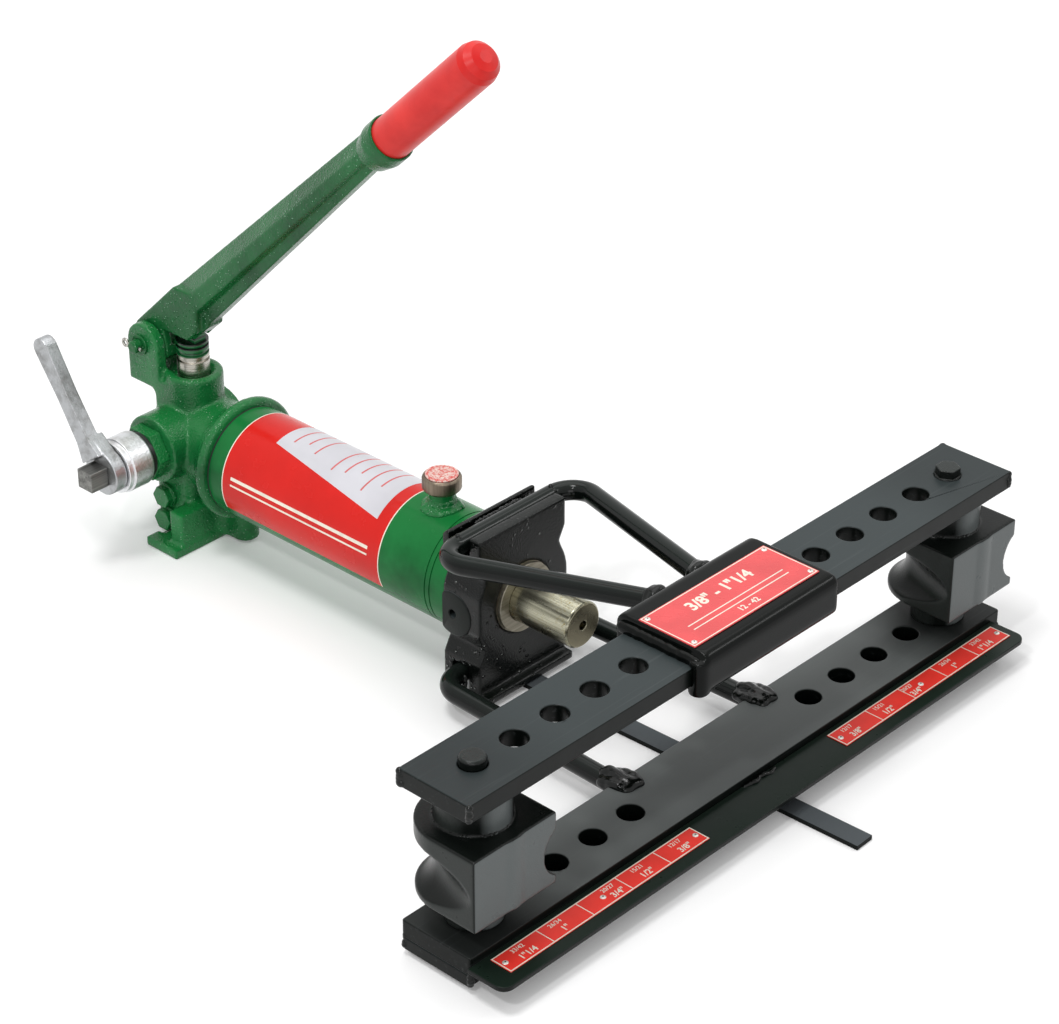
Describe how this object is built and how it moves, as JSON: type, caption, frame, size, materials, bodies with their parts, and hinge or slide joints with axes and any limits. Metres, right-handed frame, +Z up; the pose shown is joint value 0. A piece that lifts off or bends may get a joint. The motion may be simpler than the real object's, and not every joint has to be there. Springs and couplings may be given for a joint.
{
  "type": "hydraulic pipe bender",
  "caption": "Open-frame hydraulic pipe bender: hand pump, oil tank and ram behind two drilled wings that hold swivelling support blocks on pins.",
  "frame": {"origin": "on the bench plane, under the centre of the whole bender's bounding box", "axes": "+X is the way the ram travels, from the pump towards the wings; +Y runs along the wings; +Z is up"},
  "size_m": [0.76, 0.6014, 0.5149],
  "materials": {
    "green_enamel": "glossy green enamel on cast and drawn steel",
    "black_enamel": "thick glossy black enamel on steel",
    "red_plate": "printed red sheet metal",
    "rivet_white": "white painted rivet heads",
    "ram_plated": "zinc plated and ground steel",
    "bare_steel": "bare turned steel",
    "black_steel": "blackened steel",
    "cast_aluminium": "bare cast aluminium",
    "spring_steel": "oiled spring wire",
    "red_rubber": "soft red rubber",
    "seal_rubber": "black oil resistant rubber",
    "black_plastic": "moulded black plastic",
    "cap_print": "red and white printed disc"
  },
  "bodies": {
    "frame": {"upper_wing": "black_enamel", "lower_wing": "black_enamel", "lower_wing_plate": "black_enamel", "scale_ledge": "black_enamel", "scale_plate_left": "red_plate", "scale_plate_right": "red_plate", "scale_rivets": "rivet_white", "front_leg": "black_enamel", "wing_sleeve": "black_enamel", "sleeve_plate": "red_plate", "sleeve_rivets": "rivet_white", "upper_tie_rod": "black_enamel", "lower_tie_rod": "black_enamel", "ram_head": "black_enamel", "head_grub_screw": "black_steel", "ram_cylinder": "bare_steel", "gland_collar": "bare_steel", "ram_wiper": "seal_rubber", "ram_return_spring": "spring_steel", "reservoir_tube": "green_enamel", "reservoir_gasket_front": "seal_rubber", "reservoir_gasket_rear": "seal_rubber", "filler_neck": "bare_steel", "cap_gasket": "seal_rubber", "pump_body": "green_enamel", "suction_plug": "bare_steel", "suction_ball": "bare_steel", "suction_spring": "spring_steel", "delivery_plug": "bare_steel", "delivery_ball": "bare_steel", "delivery_spring": "spring_steel", "lever_pin": "bare_steel", "lever_pin_washer": "green_enamel", "split_pin": "bare_steel", "valve_nut": "green_enamel", "valve_ring": "black_plastic", "valve_collar": "cast_aluminium", "valve_seal": "seal_rubber"},
    "ram": {"ram": "ram_plated", "ram_piston": "bare_steel", "piston_seal": "seal_rubber"},
    "lever": {"pump_lever": "green_enamel", "lever_grip": "red_rubber"},
    "plunger": {"plunger": "bare_steel", "plunger_link_pin": "bare_steel", "plunger_seal": "seal_rubber"},
    "release": {"release_arm": "cast_aluminium", "valve_spindle": "bare_steel"},
    "filler": {"filler_cap": "black_plastic", "cap_disc": "cap_print"},
    "block_left": {"support_block_left": "black_enamel"},
    "block_right": {"support_block_right": "black_enamel"},
    "pin_left": {"support_pin_left": "black_steel"},
    "pin_right": {"support_pin_right": "black_steel"}
  },
  "joints": [
    {"name": "ram_slide", "type": "slide", "parent": "frame", "child": "ram", "axis": [1, 0, 0], "range_m": [0, 0.13], "deforming": ["ram_return_spring"]},
    {"name": "lever_hinge", "type": "hinge", "parent": "frame", "child": "lever", "pos_m": [-0.34782, 0.00025, 0.158], "axis": [0, 1, 0], "range_deg": [-10, 28]},
    {"name": "plunger_slide", "type": "slide", "parent": "frame", "child": "plunger", "axis": [0, 0, 1], "range_m": [-0.0207, 0.0075]},
    {"name": "release_turn", "type": "hinge", "parent": "frame", "child": "release", "pos_m": [-0.31082, -0.07975, 0.0845], "axis": [0, -1, 0], "range_deg": [0, 90]},
    {"name": "filler_cap_turn", "type": "hinge", "parent": "frame", "child": "filler", "pos_m": [-0.02682, 0.00025, 0.147], "axis": [0, 0, 1], "continuous": true},
    {"name": "block_left_swivel", "type": "hinge", "parent": "frame", "child": "block_left", "pos_m": [0.25718, -0.26025, 0.084], "axis": [0, 0, 1], "continuous": true},
    {"name": "block_right_swivel", "type": "hinge", "parent": "frame", "child": "block_right", "pos_m": [0.25718, 0.26075, 0.084], "axis": [0, 0, 1], "continuous": true},
    {"name": "pin_left_lift", "type": "slide", "parent": "frame", "child": "pin_left", "axis": [0, 0, 1], "range_m": [0, 0.15]},
    {"name": "pin_right_lift", "type": "slide", "parent": "frame", "child": "pin_right", "axis": [0, 0, 1], "range_m": [0, 0.15]}
  ],
  "couplings": [
    {"joint": "plunger_slide", "follows": "lever_hinge", "m_per_rad": -0.042}
  ]
}
